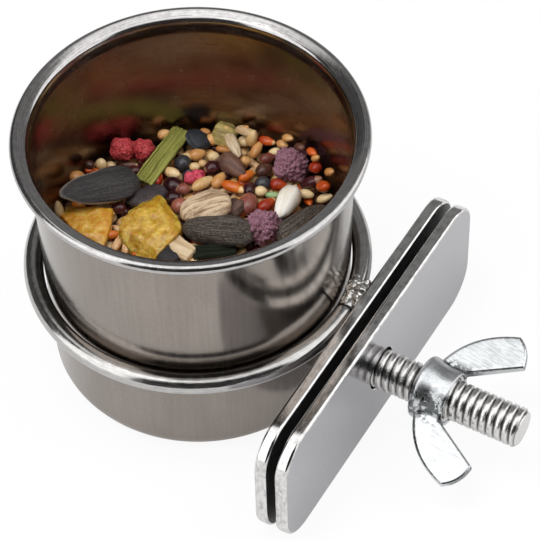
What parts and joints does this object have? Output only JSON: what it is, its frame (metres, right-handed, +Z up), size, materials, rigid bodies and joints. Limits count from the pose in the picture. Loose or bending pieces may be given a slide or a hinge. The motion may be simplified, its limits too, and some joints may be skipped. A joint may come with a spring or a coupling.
{
  "type": "seed cup",
  "caption": "Steel seed cup that lifts out of a welded wire ring, with a two-plate cage clamp drawn together by a wing nut on a threaded bolt.",
  "frame": {"origin": "centre of the cup's flat base, on the surface that it stands on", "axes": "+Z up along the cup's axis, +X outward along the clamp bolt, +Y along the plates"},
  "size_m": [0.0836, 0.0596, 0.0473],
  "materials": {
    "cup_steel": "satin outside, polished rim and inside",
    "wire_steel": "bright drawn wire",
    "weld_steel": "rough weld bead",
    "plate_steel": "polished with a fine grain",
    "bolt_steel": "bright plated thread",
    "nut_steel": "bright zinc with fine scratches"
  },
  "bodies": {
    "holder": {"wire_ring": "wire_steel", "ring_welds": "weld_steel", "back_plate": "plate_steel", "clamp_bolt": "bolt_steel", "bolt_welds": "weld_steel"},
    "cup": {"cup": "cup_steel"},
    "clamp_plate": {"clamp_plate": "plate_steel"},
    "nut_thread": {"nut_thread": "bolt_steel"},
    "wing_nut": {"wing_nut": "nut_steel"}
  },
  "joints": [
    {"name": "cup_lift", "type": "slide", "parent": "holder", "child": "cup", "axis": [0, 0, 1], "range_m": [0, 0.0225]},
    {"name": "plate_slide", "type": "slide", "parent": "holder", "child": "clamp_plate", "axis": [1, 0, 0], "range_m": [-0.0013, 0.0026]},
    {"name": "nut_travel", "type": "slide", "parent": "holder", "child": "nut_thread", "axis": [1, 0, 0], "range_m": [-0.004, 0.0114]},
    {"name": "nut_turn", "type": "hinge", "parent": "nut_thread", "child": "wing_nut", "pos_m": [0.03938, 0, 0.011], "axis": [1, 0, 0], "range_deg": [-1130, 3230]}
  ],
  "couplings": [
    {"joint": "nut_travel", "follows": "nut_turn", "m_per_rad": 0.00020213}
  ]
}
